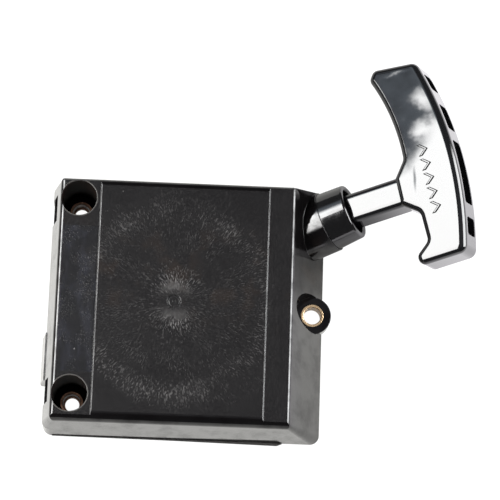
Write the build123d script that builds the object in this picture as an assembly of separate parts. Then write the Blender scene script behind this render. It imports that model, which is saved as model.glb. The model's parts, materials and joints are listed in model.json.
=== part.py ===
from build123d import *
import os
from math import acos, atan2, cos, degrees, hypot, radians, sin

# Recoil starter for a small engine: a black moulded housing with three brass mounting sleeves, a rope
# outlet with a collar, a T-grip, and the reel, spring and pawl mechanism inside.
# Frame: millimetres. z = 0 is the mounting face, +z is the front of the housing, and the z axis is the
# reel's axis. +x is the side the rope leaves, +y is up the front face.

# ---- housing, driving sizes ----
DEPTH = 40.0            # mounting face to front panel
FACE_LEFT, FACE_RIGHT = -57.0, 57.0
FACE_BOTTOM, FACE_TOP = -59.3, 59.8
BASE_LEFT, BASE_RIGHT = -62.3, 74.4
BASE_BOTTOM, BASE_TOP = -61.6, 63.0
BREAK_Z, BREAK_LEFT = 15.0, -62.0   # the left wall is upright below this height
WALL = 2.5
FRONT_WALL = 3.0
CORNER_FACE_R, CORNER_BASE_R = 2.2, 4.6
LONG_EDGE_R = 2.2       # rounding of the left and right edges of the front face
UPPER_EDGE_R, LOWER_EDGE_R = 3.8, 5.4
PANEL_LEFT, PANEL_RIGHT = -37.3, 44.5
PANEL_STEP = 0.6
PANEL_BEVEL, PANEL_EDGE = 0.5, 0.27     # width of the panel's bevels, height of its left one
STRIP_HALF_LENGTH = 36.0
STRIP_FALL = 0.4        # how much deeper the left strip lies beside the panel
GATE_MARK_R = 3.4

# ---- mounting points ----
LEFT_HOLES = ((-48.3, 49.9), (-48.3, -46.5))
RIGHT_HOLE = (69.0, 2.0)
COUNTERBORE_R = 8.7
BOSS_R = 11.0
EAR_R = 9.4
SPOT_WALL_R = 11.8
SEAT_Z = 8.0
SLEEVE_R, SLEEVE_BORE_R, SLEEVE_LENGTH = 5.6, 4.3, 8.4
FOOT_BORE_R, FOOT_T = 3.5, 1.6      # the two left sleeves narrow at the foot

# ---- left wall details ----
NOTCHES = ((40.5, 53.6), (-49.4, -37.5))
NOTCH_X = -58.8
NOTCH_FLOOR_Z, NOTCH_TOP_Z = 3.0, 28.5
LUG_Y = (-37.5, -12.5)
LUG_TOP_Z = 15.0
LUG_TOP_X, LUG_BASE_X = -62.5, -64.7
BEAD_HEIGHT = 1.2       # low bead along the lower edge of the base
BEAD = ((-58.5, -60.5), (-57.5, -61.9), (0.0, -62.2), (53.5, -62.9), (56.0, -61.9), (56.0, -60.5))

# ---- rope outlet: a round stub square to the sloped wall, with the collar pushed into it ----
SEAM_CENTRE = (75.7, 48.3, 18.0)
OUTLET_AZIMUTH, OUTLET_ELEVATION = 21.6, 23.5
STUB_R = 15.4
FAIRING = ((57.0, 59.5, 38.6), (70.2, 62.3, 18.6), (61.0, 57.0, 19.0), (62.6, 46.0, 27.4))
COLLAR_R, COLLAR_END_R, COLLAR_LENGTH = 14.7, 13.9, 13.7
COLLAR_BORE_R, SPIGOT_R, SPIGOT_LENGTH = 11.2, 12.8, 5.0
WEB_IN, WEB_OUT = -12.0, -6.0       # web that carries the eyelet, along the outlet's axis
EYELET_R, EYELET_THROAT_R, EYELET_ROUND = 8.5, 2.6, 2.9
EYELET_SEAT, EYELET_HOLE_R = -2.3, 6.0

# ---- pull line: the direction the grip is drawn in ----
PULL_POINT = (75.6, 49.4, 17.4)
PULL_AZIMUTH, PULL_ELEVATION, GRIP_ROLL = 15.1, 26.4, 4.5
ROPE_R = 2.1

# ---- reel and axle stack, heights from the mounting face ----
ROPE_Z = 15.0
REEL_R = 43.0
GROOVE_FLOOR_R = 23.4
GROOVE_HALF = 2.5
FLANGE_T = 1.6
REEL_BORE_R = 10.0
REEL_REAR_Z = 7.4
REEL_HUB_R, REEL_HUB_TOP_Z = 13.0, 34.5
PAWL_DISC_R, PAWL_DISC_Z = 30.0, 9.7
REAR_HUB_R = 13.5
POST_R, SLEEVE_OUTER_R = 7.0, 8.0
POST_END_Z = 7.3
BEARING_BORE_R = 8.04
INSERT_R, INSERT_LENGTH = 4.2, 10.0
SCREW_R, SCREW_HEAD_R, SCREW_HEAD_Z = 2.95, 7.5, 0.4
SHOULDER_R, SHOULDER_Z = 4.4, 2.2
WASHER_R, WASHER_Z = 12.5, 5.9
ROPE_PITCH, ROPE_TURNS = 4.35, 3.3
COIL_OUTER_R = 39.9

# ---- recoil spring cassette ----
CASSETTE_R, CASSETTE_T, CASSETTE_Z = 44.8, 0.8, 23.6
COVER_T = 0.8
RIB_R, RIB_T, RIB_Z = 45.0, 2.0, 30.0
SCREW_ANGLES = (30, 150, 270)
SCREW_RADIUS = 50.5
SPRING_OUTER_R, SPRING_INNER_R, SPRING_TURNS, SPRING_T = 43.2, 14.6, 9, 0.6
SPRING_HOOK_ANGLE = 200.0

# ---- pawls and guide plate ----
PAWL_PIVOT_R, PAWL_PIN_R = 20.0, 2.5
PAWL_INNER_R, PAWL_OUTER_R, PAWL_SPAN = 17.2, 24.6, 52.0
PAWL_Z, PAWL_TOP_Z = 5.4, 9.6
PEG_RADIUS, PEG_ANGLE, PEG_R = 20.5, -25.0, 1.5
SWING = 28.0
PLATE_R, PLATE_Z, PLATE_T = 28.5, 3.9, 1.3
PIN_TOP_Z = 14.5

# ---- grip ----
GRIP_T = 19.5
STEM_W, STEM_T, STEM_START = 15.0, 17.0, 3.0
GRIP_EDGE_R, STEM_EDGE_R = 3.2, 3.4
KNOT_SEAT_T = 57.0

FRONT_INNER_Z = DEPTH - FRONT_WALL


def direction(azimuth, elevation):
    """Unit vector at these angles, in degrees."""
    az, el = radians(azimuth), radians(elevation)
    return Vector(cos(el) * cos(az), cos(el) * sin(az), sin(el))


def outlet_plane():
    """Centre of the seam between stub and collar. Local z runs out along the stub."""
    return Plane(origin=SEAM_CENTRE, x_dir=(0, 0, 1), z_dir=direction(OUTLET_AZIMUTH, OUTLET_ELEVATION))


def pull_plane():
    """Local x runs out along the pull line, y along the T of the grip, z is the grip's front."""
    s = direction(PULL_AZIMUTH, PULL_ELEVATION)
    up = (Vector(0, 0, 1) - s * s.Z).normalized()
    side = up.cross(s)
    n = up * cos(radians(GRIP_ROLL)) + side * sin(radians(GRIP_ROLL))
    return Plane(origin=PULL_POINT, x_dir=s, z_dir=n)


OUTLET = outlet_plane()
PULL = pull_plane()
# The same origin with local z along the pull line, for round parts.
PULL_ROUND = Plane(origin=PULL.origin, x_dir=PULL.y_dir, z_dir=PULL.x_dir)
# Where the pull line passes through the plane of the coiled rope.
TURN_POINT = PULL.origin + PULL.x_dir * ((ROPE_Z - PULL.origin.Z) / PULL.x_dir.Z)


def tangent_angle():
    """Where the rope leaves the full coil towards the eyelet."""
    x, y = TURN_POINT.X, TURN_POINT.Y
    return degrees(atan2(y, x) + acos(COIL_OUTER_R / hypot(x, y)))


def eyelet_plane():
    """Centre of the eyelet. Local z halves the turn that the rope makes in it."""
    leave = tangent_angle() - 90
    return Plane(origin=TURN_POINT, z_dir=direction(leave, 0) + PULL.x_dir)


EYELET = eyelet_plane()


def polar(r, angle, z=0.0):
    return (r * cos(radians(angle)), r * sin(radians(angle)), z)


def rod(r, z0, z1, x=0.0, y=0.0):
    """Cylinder along z between two heights."""
    return Pos(x, y, (z0 + z1) / 2) * Cylinder(r, z1 - z0)


def tube(r_outer, r_inner, z0, z1, x=0.0, y=0.0):
    return rod(r_outer, z0, z1, x, y) - rod(r_inner, z0 - 1, z1 + 1, x, y)


def block(x0, x1, y0, y1, z0, z1):
    return Pos((x0 + x1) / 2, (y0 + y1) / 2, (z0 + z1) / 2) * Box(x1 - x0, y1 - y0, z1 - z0)


def turned(points, plane=Plane.XY):
    """Solid of revolution about the plane's z axis from (radius, height) points."""
    profile = Plane.XZ * make_face(Polyline(*points, close=True))
    return plane * revolve(profile, Axis.Z)


def wall_x(z):
    """Left and right outer wall positions at height z."""
    if z < BREAK_Z:
        left = BASE_LEFT + (BREAK_LEFT - BASE_LEFT) * z / BREAK_Z
    else:
        left = BREAK_LEFT + (FACE_LEFT - BREAK_LEFT) * (z - BREAK_Z) / (DEPTH - BREAK_Z)
    return left, BASE_RIGHT + (FACE_RIGHT - BASE_RIGHT) * z / DEPTH


def wall_y(z):
    """Lower and upper outer wall positions at height z."""
    share = z / DEPTH
    return BASE_BOTTOM + (FACE_BOTTOM - BASE_BOTTOM) * share, BASE_TOP + (FACE_TOP - BASE_TOP) * share


def outline(z, inset):
    """Rounded rectangle of the walls at height z, moved inwards."""
    (x0, x1), (y0, y1) = wall_x(z), wall_y(z)
    width, height = x1 - x0 - 2 * inset, y1 - y0 - 2 * inset
    r = CORNER_BASE_R + (CORNER_FACE_R - CORNER_BASE_R) * z / DEPTH
    return Pos((x0 + x1) / 2, (y0 + y1) / 2, z) * RectangleRounded(width, height, max(r - inset, 0.6))


def nearest(vertices, point):
    return min(vertices, key=lambda v: (Vector(v) - Vector(*point)).length)


def housing_block():
    """The solid outer form: tapered walls, rounded edges and a raised centre panel."""
    taper = loft([outline(z, 0) for z in (0, BREAK_Z, DEPTH)], ruled=True)
    strip_z = DEPTH - PANEL_STEP
    (xl, xr), (yl, yr) = wall_x(strip_z), wall_y(DEPTH)
    front = make_face(Polyline(
        (BASE_LEFT, 0), (BREAK_LEFT, BREAK_Z), (xl, strip_z), (PANEL_LEFT - PANEL_BEVEL, strip_z),
        (PANEL_LEFT - PANEL_BEVEL, DEPTH - PANEL_EDGE), (PANEL_LEFT, DEPTH), (PANEL_RIGHT, DEPTH),
        (PANEL_RIGHT + PANEL_BEVEL, strip_z), (xr, strip_z), (BASE_RIGHT, 0), close=True))
    corners = [nearest(front.vertices(), (x, strip_z, 0)) for x in (xl, xr)]
    front = fillet(corners, LONG_EDGE_R)
    side = make_face(Polyline((BASE_BOTTOM, 0), (yl, DEPTH), (yr, DEPTH), (BASE_TOP, 0), close=True))
    for y, r in ((yl, LOWER_EDGE_R), (yr, UPPER_EDGE_R)):
        side = fillet(nearest(side.vertices(), (y, DEPTH, 0)), r)
    along_y = extrude(Plane.XZ * front, 80, both=True)
    along_x = extrude(Plane.YZ * side, 90, both=True)
    return taper & along_y & along_x


def left_strip_cut():
    """Between the two counterbores the left strip falls very slightly towards the panel."""
    inner, outer = PANEL_LEFT - PANEL_BEVEL, FACE_LEFT + LONG_EDGE_R
    z = DEPTH - PANEL_STEP
    wedge = make_face(Polyline((inner, z + 0.3), (inner, z - STRIP_FALL), (outer, z), (outer, z + 0.3),
                               close=True))
    return extrude(Plane.XZ * wedge, STRIP_HALF_LENGTH, both=True)


def inner_features():
    """Everything that stands inside the housing, before it is trimmed to the outer form."""
    body = rod(POST_R, POST_END_Z, DEPTH)
    body += tube(RIB_R + RIB_T, RIB_R, RIB_Z, DEPTH)
    body += tube(POST_R + 2.4, POST_R - 1, FRONT_INNER_Z - 1.2, DEPTH) - rod(SLEEVE_OUTER_R, 0, FRONT_INNER_Z)
    for x, y in LEFT_HOLES:
        body += rod(BOSS_R, 0, DEPTH, x, y)
    body += rod(SPOT_WALL_R, 0, DEPTH, *RIGHT_HOLE)
    for y0, y1 in NOTCHES:
        body += block(BASE_LEFT, NOTCH_X + 2.6, y0 - 2, y1 + 2, 0, DEPTH)
    for angle in SCREW_ANGLES:
        x, y, _ = polar(SCREW_RADIUS, angle)
        body += rod(4.0, CASSETTE_Z, DEPTH, x, y)
    for angle in (0, 60, 120, 180, 240, 300):
        rib = block(RIB_R + 0.5, 90, -0.9, 0.9, RIB_Z + 1, DEPTH)
        body += Rot(0, 0, angle) * rib
    for x in (-30, -10, 14, 38):
        for side in (-1, 1):
            y = side * (FACE_TOP - 4.5)
            body += block(x - 0.9, x + 0.9, y - 5, y + 5, 12, DEPTH)
    return body


def base_bead():
    return extrude(make_face(Polyline(*BEAD, close=True)), BEAD_HEIGHT)


def lug():
    side = make_face(Polyline((-59.5, 0), (LUG_BASE_X, 0), (LUG_TOP_X, LUG_TOP_Z), (-59.5, LUG_TOP_Z),
                              close=True))
    body = extrude(Plane.XZ * side, -(LUG_Y[1] - LUG_Y[0]))
    body = Pos(0, LUG_Y[0], 0) * body
    outer = [e for e in body.edges() if e.center().X < -61.8 and abs(e.center().Z - LUG_TOP_Z / 2) < 2]
    return fillet(outer, 1.4)


def outlet_stub():
    """Round stub on the sloped wall that carries the collar, with a web for the rope eyelet."""
    body = turned([(0, -14), (STUB_R, -14), (STUB_R, 0), (0, 0)], OUTLET)
    return body & block(40, 110, 0, BASE_TOP, 0, 60)


def outlet_fairing():
    """Four-sided filler that carries the top corner of the housing over to the stub."""
    a, b, c, d = FAIRING
    sides = [make_face(Polyline(*corners, close=True)) for corners in ((a, b, c), (a, b, d), (a, c, d), (b, c, d))]
    return Solid(Shell(sides))


def outlet_bores():
    cut = turned([(0, WEB_OUT), (SPIGOT_R, WEB_OUT), (SPIGOT_R, 5), (0, 5)], OUTLET)
    cut += turned([(0, WEB_IN - 13), (13, WEB_IN - 13), (9, WEB_IN), (0, WEB_IN)], OUTLET)
    cut += EYELET * (rod(EYELET_R, EYELET_SEAT, 6) + rod(EYELET_HOLE_R, -9, EYELET_SEAT))
    return cut


def housing():
    outer = housing_block()
    cavity = loft([outline(z, WALL) for z in (-1, BREAK_Z, FRONT_INNER_Z)], ruled=True)
    body = (outer - cavity) + (inner_features() & outer)
    ear = rod(EAR_R, 0, SEAT_Z, *RIGHT_HOLE)
    body += ear
    body += outlet_stub()
    body += outlet_fairing()
    body += lug()
    body += base_bead()
    # openings
    for x, y in LEFT_HOLES:
        body -= rod(COUNTERBORE_R, SEAT_Z, DEPTH + 2, x, y)
        body -= rod(SLEEVE_R, -1, SEAT_Z + 1, x, y)
    body -= rod(EAR_R, SEAT_Z, DEPTH + 2, *RIGHT_HOLE)
    body -= rod(SLEEVE_R, -5, SEAT_Z + 1, *RIGHT_HOLE)
    body -= outlet_bores()
    for y0, y1 in NOTCHES:
        body -= block(-70, NOTCH_X, y0, y1, NOTCH_FLOOR_Z, NOTCH_TOP_Z)
    body -= left_strip_cut()
    body -= rod(INSERT_R, POST_END_Z - 1, POST_END_Z + INSERT_LENGTH)
    for angle in SCREW_ANGLES:
        x, y, _ = polar(SCREW_RADIUS, angle)
        body -= rod(1.55, CASSETTE_Z - 1, CASSETTE_Z + 9, x, y)
    body -= Rot(0, 0, SPRING_HOOK_ANGLE) * block(RIB_R - 1, RIB_R + RIB_T + 1, -4, 4, RIB_Z - 1, FRONT_INNER_Z)
    body -= tube(GATE_MARK_R, GATE_MARK_R - 0.9, DEPTH - 0.5, DEPTH + 1)
    body -= rod(0.8, DEPTH - 0.3, DEPTH + 1)
    return body


def mounting_sleeve(x, y):
    sleeve = tube(SLEEVE_R, SLEEVE_BORE_R, 0, SLEEVE_LENGTH, x, y)
    inner = [e for e in sleeve.edges().filter_by(GeomType.CIRCLE) if e.radius < SLEEVE_R - 0.5]
    return chamfer(inner, 0.4)


def footed_sleeve(x, y):
    """Mounting sleeve with a narrow foot that places the bolt."""
    return mounting_sleeve(x, y) + tube(SLEEVE_R - 0.4, FOOT_BORE_R, 0, FOOT_T, x, y)


def outlet_collar():
    body = turned([
        (COLLAR_BORE_R, -SPIGOT_LENGTH), (SPIGOT_R, -SPIGOT_LENGTH), (SPIGOT_R, 0), (COLLAR_R, 0),
        (COLLAR_END_R, COLLAR_LENGTH), (COLLAR_BORE_R, COLLAR_LENGTH)])
    rings = [e for e in body.edges().filter_by(GeomType.CIRCLE) if abs(e.center().Z - COLLAR_LENGTH) < 0.1]
    body = fillet(rings, 1.25)
    return OUTLET * body


def rope_eyelet():
    """Smooth ring with fully rounded mouths, so the rope can turn in it."""
    ring = Torus(EYELET_THROAT_R + EYELET_ROUND, EYELET_ROUND)
    ring += tube(EYELET_R, EYELET_THROAT_R + EYELET_ROUND, EYELET_SEAT, 0.7)
    ring -= tube(EYELET_R + 4, EYELET_HOLE_R - 0.1, -EYELET_ROUND - 1, EYELET_SEAT)
    return EYELET * ring


def axle_sleeve():
    return tube(SLEEVE_OUTER_R, POST_R, POST_END_Z, FRONT_INNER_Z)


def post_insert():
    return tube(INSERT_R, SCREW_R + 0.05, POST_END_Z, POST_END_Z + INSERT_LENGTH)


def retaining_washer():
    return tube(WASHER_R, SCREW_R + 0.2, WASHER_Z, POST_END_Z)


def shoulder_screw():
    body = rod(SCREW_HEAD_R, SCREW_HEAD_Z, SHOULDER_Z) + rod(SHOULDER_R, SHOULDER_Z, WASHER_Z)
    body += rod(SCREW_R, WASHER_Z, POST_END_Z + INSERT_LENGTH - 1)
    rim = [e for e in body.edges().filter_by(GeomType.CIRCLE)
           if e.radius > SCREW_HEAD_R - 0.1 and e.center().Z < SCREW_HEAD_Z + 0.1]
    body = fillet(rim, 0.7)
    socket = extrude(Pos(0, 0, SCREW_HEAD_Z - 0.5) * RegularPolygon(2.9, 6), 3.6)
    return body - socket


def friction_spring():
    """Split ring of wire between the screw head and the guide plate."""
    wire, radius, turns = 0.38, 6.0, 0.95
    low, high = SHOULDER_Z + wire + 0.03, PLATE_Z - wire - 0.03
    path = Pos(0, 0, low) * Helix((high - low) / turns, high - low, radius)
    section = Plane(origin=path @ 0, z_dir=path % 0) * Circle(wire)
    return sweep(section, path)


def spring_cassette():
    """Steel cup that holds the recoil spring, open towards the reel."""
    inner = CASSETTE_R - CASSETTE_T
    body = rod(CASSETTE_R, CASSETTE_Z, FRONT_INNER_Z) - rod(inner, CASSETTE_Z - 1, FRONT_INNER_Z - CASSETTE_T)
    body -= rod(POST_R + 2.6, CASSETTE_Z, DEPTH)
    slot = block(inner - 2, CASSETTE_R + 1, -1.6, 1.6, CASSETTE_Z - 1, FRONT_INNER_Z - CASSETTE_T)
    return body - Rot(0, 0, SPRING_HOOK_ANGLE) * slot


def spiral_points(r_inner, r_outer, turns, end_angle, per_turn):
    """Points of a flat spiral. The radius grows with the angle and is r_outer at end_angle."""
    count = int(turns * per_turn)
    points = []
    for i in range(count + 1):
        share = i / count
        points.append(polar(r_inner + (r_outer - r_inner) * share, end_angle - 360 * turns * (1 - share)))
    return points


def recoil_spring():
    """Flat strip wound as a spiral: outer end hooked in the cassette, inner end in the reel's hub."""
    half = SPRING_T / 2
    start = SPRING_HOOK_ANGLE - 1.0
    outside = spiral_points(SPRING_INNER_R + half, SPRING_OUTER_R + half, SPRING_TURNS, start, 14)
    inside = spiral_points(SPRING_INNER_R - half, SPRING_OUTER_R - half, SPRING_TURNS, start, 14)
    strip = make_face([Spline(*outside), Line(outside[-1], inside[-1]), Spline(*inside),
                       Line(inside[0], outside[0])])
    z0, z1 = CASSETTE_Z + 0.5, FRONT_INNER_Z - CASSETTE_T - 0.3
    body = Pos(0, 0, z0) * extrude(strip, z1 - z0)
    hook = Rot(0, 0, SPRING_HOOK_ANGLE) * block(SPRING_OUTER_R - half, RIB_R + 1.4, -1.1, -0.5, z0, z1)
    body += hook
    tail_angle = start - 360 * SPRING_TURNS
    tail = Rot(0, 0, tail_angle) * block(REEL_HUB_R - 1.8, SPRING_INNER_R + half - 0.05, 0, SPRING_T, z0, z1)
    return body + tail


def spring_cover():
    """Steel disc over the cassette with three ears for its screws."""
    z0, z1 = CASSETTE_Z - COVER_T, CASSETTE_Z
    body = rod(CASSETTE_R, z0, z1)
    for angle in SCREW_ANGLES:
        body += Rot(0, 0, angle) * (block(CASSETTE_R - 4, SCREW_RADIUS, -4.5, 4.5, z0, z1))
        x, y, _ = polar(SCREW_RADIUS, angle)
        body += rod(4.5, z0, z1, x, y)
    for angle in SCREW_ANGLES:
        x, y, _ = polar(SCREW_RADIUS, angle)
        body -= rod(1.7, z0 - 1, z1 + 1, x, y)
    for angle in range(0, 360, 60):
        x, y, _ = polar(32, angle)
        body -= rod(5.0, z0 - 1, z1 + 1, x, y)
    return body - rod(REEL_HUB_R + 1.5, z0 - 1, z1 + 1)


def cover_screws():
    head_z = CASSETTE_Z - COVER_T
    group = []
    for angle in SCREW_ANGLES:
        x, y, _ = polar(SCREW_RADIUS, angle)
        screw = rod(3.0, head_z - 2.0, head_z, x, y) + rod(1.5, head_z, CASSETTE_Z + 8, x, y)
        for turn in (0, 90):
            screw -= Pos(x, y, head_z - 1.7) * Rot(0, 0, turn) * Box(3.4, 0.9, 1.4)
        group.append(screw)
    return Compound(children=[s.solid() for s in group])


def knot_angle():
    """Angle of the rope's inner end on the reel."""
    return tangent_angle() + 360 * ROPE_TURNS


def pawl_angles():
    return [knot_angle() + 90, knot_angle() + 270]


def reel():
    rear_z = ROPE_Z - GROOVE_HALF - FLANGE_T
    front_z = ROPE_Z + GROOVE_HALF + FLANGE_T
    body = turned([
        (REEL_BORE_R, REEL_REAR_Z), (REAR_HUB_R, REEL_REAR_Z), (REAR_HUB_R, PAWL_DISC_Z),
        (PAWL_DISC_R, PAWL_DISC_Z), (PAWL_DISC_R, rear_z), (REEL_R, rear_z), (REEL_R, rear_z + FLANGE_T),
        (GROOVE_FLOOR_R, rear_z + FLANGE_T), (GROOVE_FLOOR_R, front_z - FLANGE_T),
        (REEL_R, front_z - FLANGE_T), (REEL_R, front_z), (REEL_HUB_R, front_z),
        (REEL_HUB_R, REEL_HUB_TOP_Z), (REEL_BORE_R, REEL_HUB_TOP_Z)])
    rims = [e for e in body.edges().filter_by(GeomType.CIRCLE) if e.radius > REEL_R - 0.1]
    body = fillet(rims, 0.5)
    web = tube(REEL_R - 1.4, REEL_R - 2.6, rear_z - 1.0, rear_z + 0.4)
    for i in range(18):
        web += Rot(0, 0, i * 20) * block(PAWL_DISC_R - 0.5, REEL_R - 2.0, -0.7, 0.7, rear_z - 1.0, rear_z + 0.4)
    body += web
    # pocket and hole for the knotted rope end
    kx, ky, _ = polar(18.4, knot_angle())
    body -= rod(5.0, PAWL_DISC_Z - 1, ROPE_Z + 3.1, kx, ky)
    hole = Pos(*polar(21.5, knot_angle(), ROPE_Z)) * Rot(0, 0, knot_angle()) * Rot(0, 90, 0)
    body -= hole * Cylinder(ROPE_R + 0.4, 8)
    for angle in pawl_angles():
        px, py, _ = polar(PAWL_PIVOT_R, angle)
        body -= rod(PAWL_PIN_R, PAWL_DISC_Z - 1, PIN_TOP_Z, px, py)
    # slot that takes the spring's inner end
    tail_angle = SPRING_HOOK_ANGLE - 1.0 - 360 * SPRING_TURNS
    slot = block(REEL_HUB_R - 2.0, REEL_HUB_R + 1, -0.25, SPRING_T + 0.25, CASSETTE_Z, REEL_HUB_TOP_Z + 1)
    return body - Rot(0, 0, tail_angle) * slot


def reel_bearing():
    return tube(REEL_BORE_R, BEARING_BORE_R, REEL_REAR_Z, REEL_HUB_TOP_Z)


def rope_coil():
    """Rope wound on the reel, from the knot in its pocket to the point where it leaves the coil."""
    start = tangent_angle()
    points = []
    count = int(ROPE_TURNS * 14)
    for i in range(count + 1):
        share = i / count
        radius = COIL_OUTER_R - ROPE_PITCH * ROPE_TURNS * share
        points.append(polar(radius, start + 360 * ROPE_TURNS * share, ROPE_Z))
    path = Spline(*points)
    coil = sweep(Plane(origin=path @ 0, z_dir=path % 0) * Circle(ROPE_R), path)
    inner = Vector(*points[-1])
    reach = Pos(*polar(22.3, knot_angle(), ROPE_Z)) * Rot(0, 0, knot_angle()) * Rot(0, 90, 0)
    neck = reach * Cylinder(ROPE_R - 0.05, 7.2)
    knot = Pos(*polar(17.6, knot_angle(), ROPE_Z - 0.6)) * Sphere(3.4)
    return coil + neck + knot + Pos(*inner) * Sphere(ROPE_R)


def rope_lead():
    """The free rope: from the coil, round the eyelet, through the collar to the knot in the grip."""
    start = Vector(*polar(COIL_OUTER_R, tangent_angle(), ROPE_Z))
    corner = TURN_POINT
    end = PULL.from_local_coords(Vector(KNOT_SEAT_T + 1.6, 0, 0))
    start += (corner - start).normalized() * 0.3
    bend = 9.0
    into, out = (corner - start).normalized(), (end - corner).normalized()
    half = into.get_angle(out) / 2
    back = bend * sin(radians(half)) / cos(radians(half))
    first, last = corner - into * back, corner + out * back
    path = Line(start, first) + TangentArc(first, last, tangent=into) + Line(last, end)
    return sweep(Plane(origin=start, z_dir=into) * Circle(ROPE_R), path)


def pawl_pins():
    pins = [rod(PAWL_PIN_R, PAWL_Z - 0.1, PIN_TOP_Z, *polar(PAWL_PIVOT_R, a)[:2]) for a in pawl_angles()]
    return Compound(children=[p.solid() for p in pins])


def pawl(angle):
    """Curved pawl folded against the reel; it pivots on its pin and is driven by the peg under it."""
    tip_in, tip_out = -PAWL_SPAN + 6, -PAWL_SPAN
    face = make_face([
        ThreePointArc(polar(PAWL_OUTER_R, 0), polar(PAWL_OUTER_R, tip_out / 2), polar(PAWL_OUTER_R, tip_out)),
        Line(polar(PAWL_OUTER_R, tip_out), polar(PAWL_INNER_R, tip_in)),
        ThreePointArc(polar(PAWL_INNER_R, tip_in), polar(PAWL_INNER_R, tip_in / 2), polar(PAWL_INNER_R, 0)),
        Line(polar(PAWL_INNER_R, 0), polar(PAWL_OUTER_R, 0))])
    face += Pos(PAWL_PIVOT_R, 0) * Circle(4.6)
    body = Pos(0, 0, PAWL_Z) * extrude(face, PAWL_TOP_Z - PAWL_Z)
    body += rod(PEG_R, PLATE_Z - 0.5, PAWL_Z + 1, *polar(PEG_RADIUS, PEG_ANGLE)[:2])
    body -= rod(PAWL_PIN_R + 0.05, 0, 20, PAWL_PIVOT_R, 0)
    return Rot(0, 0, angle) * body


def guide_plate():
    """Plate whose arc slots hold the pawls' pegs. Turning it against the reel swings the pawls out."""
    body = rod(PLATE_R, PLATE_Z, PLATE_Z + PLATE_T)
    peg = Vector(*polar(PEG_RADIUS, PEG_ANGLE))
    centre = peg - Vector(PAWL_PIVOT_R, 0, 0)
    arc = CenterArc((0, 0), PAWL_PIVOT_R, 0, -SWING)
    slot = Pos(0, 0, PLATE_Z - 1) * extrude(Pos(centre.X, centre.Y) * SlotArc(arc, 2 * (PEG_R + 0.2)), 4)
    for angle in pawl_angles():
        body -= Rot(0, 0, angle) * slot
        for offset in (55, 95):
            x, y, _ = polar(17.5, angle + offset)
            body -= rod(4.0, PLATE_Z - 1, PLATE_Z + PLATE_T + 1, x, y)
    rim = [e for e in body.edges().filter_by(GeomType.CIRCLE) if e.radius > PLATE_R - 0.1]
    body = chamfer(rim, 0.3)
    return body - rod(SHOULDER_R + 0.08, 0, 20)


def grip_outline():
    """The T-grip seen from the front: local x runs away from the housing, y along the grip."""
    palm = ThreePointArc((67.4, -39.2), (73.2, 6.0), (64.6, 61.0))
    tip = Polyline((64.6, 61.0), (42.4, 64.2), (39.0, 59.6))
    inner = ThreePointArc((39.0, 59.6), (45.7, 36.0), (46.9, 15.0))
    lower = Polyline((46.9, 15.0), (40.6, 6.8), (40.6, -6.8), (49.3, -13.5), (49.7, -28.3), (42.6, -34.0),
                     (43.4, -39.3), (67.4, -39.2))
    face = make_face([palm, tip, inner, lower])
    rounding = (
        (4.6, ((64.6, 61.0), (67.4, -39.2))),
        (3.6, ((42.4, 64.2), (39.0, 59.6), (42.6, -34.0), (43.4, -39.3))),
        (5.0, ((46.9, 15.0), (49.3, -13.5))),
        (3.4, ((49.7, -28.3),)))
    for radius, points in rounding:
        for point in points:
            face = fillet(nearest(face.vertices(), (*point, 0)), radius)
    return face


def chevron(y):
    """One raised pull mark on the grip's front."""
    t, half, reach, width = 58.4, 2.9, 2.6, 1.8
    points = ((t - reach, y - half), (t - reach + width, y - half), (t + reach, y),
              (t - reach + width, y + half), (t - reach, y + half), (t + reach - width, y))
    mark = extrude(Pos(0, 0, GRIP_T / 2 - 0.3) * make_face(Polyline(*points, close=True)), 0.9)
    return chamfer(mark.faces().sort_by(Axis.Z)[-1].edges(), 0.3)


def grip():
    body = Pos(0, 0, -GRIP_T / 2) * extrude(grip_outline(), GRIP_T)
    edges = [e for e in body.edges() if abs(abs(e.center().Z) - GRIP_T / 2) < 0.01]
    body = fillet(edges, GRIP_EDGE_R)
    stem = block(STEM_START, 48, -STEM_W / 2, STEM_W / 2, -STEM_T / 2, STEM_T / 2)
    stem = fillet(stem.edges().filter_by(Axis.X), STEM_EDGE_R)
    nose = stem.faces().sort_by(Axis.X)[0].edges()
    stem = chamfer(nose, 1.0)
    body += stem
    # hollows in the palm side, and the bigger one that takes the knot
    for y0, y1, floor in ((46.0, 55.0, 54.0), (24.0, 37.6, 54.0), (-14.7, 17.8, KNOT_SEAT_T),
                          (-30.5, -21.6, 54.0)):
        pocket = block(floor, 80, y0, y1, -5.2, 5.2)
        body -= fillet(pocket.edges().filter_by(Axis.X), 1.6)
    body -= Pos((KNOT_SEAT_T + STEM_START) / 2, 0, 0) * Rot(0, 90, 0) * Cylinder(ROPE_R + 0.5, 60)
    for y in (-13.6, -6.2, 1.2, 8.6, 16.0):
        body += chevron(y)
    return PULL * body


def knot_washer():
    return PULL_ROUND * tube(5.0, ROPE_R + 0.3, KNOT_SEAT_T, KNOT_SEAT_T + 1.5)


def grip_knot():
    """Stopper knot: two crossed turns drawn tight."""
    z = KNOT_SEAT_T + 2.5 + ROPE_R
    knot = Pos(0, 0, z) * (Rot(14, 0, 0) * Torus(2.4, ROPE_R - 0.1))
    knot += Pos(0, 0, z + 2.6) * (Rot(-16, 8, 0) * Torus(2.3, ROPE_R - 0.2))
    knot += rod(2.6, KNOT_SEAT_T + 1.7, z + 4.6)
    return PULL_ROUND * knot


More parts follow.
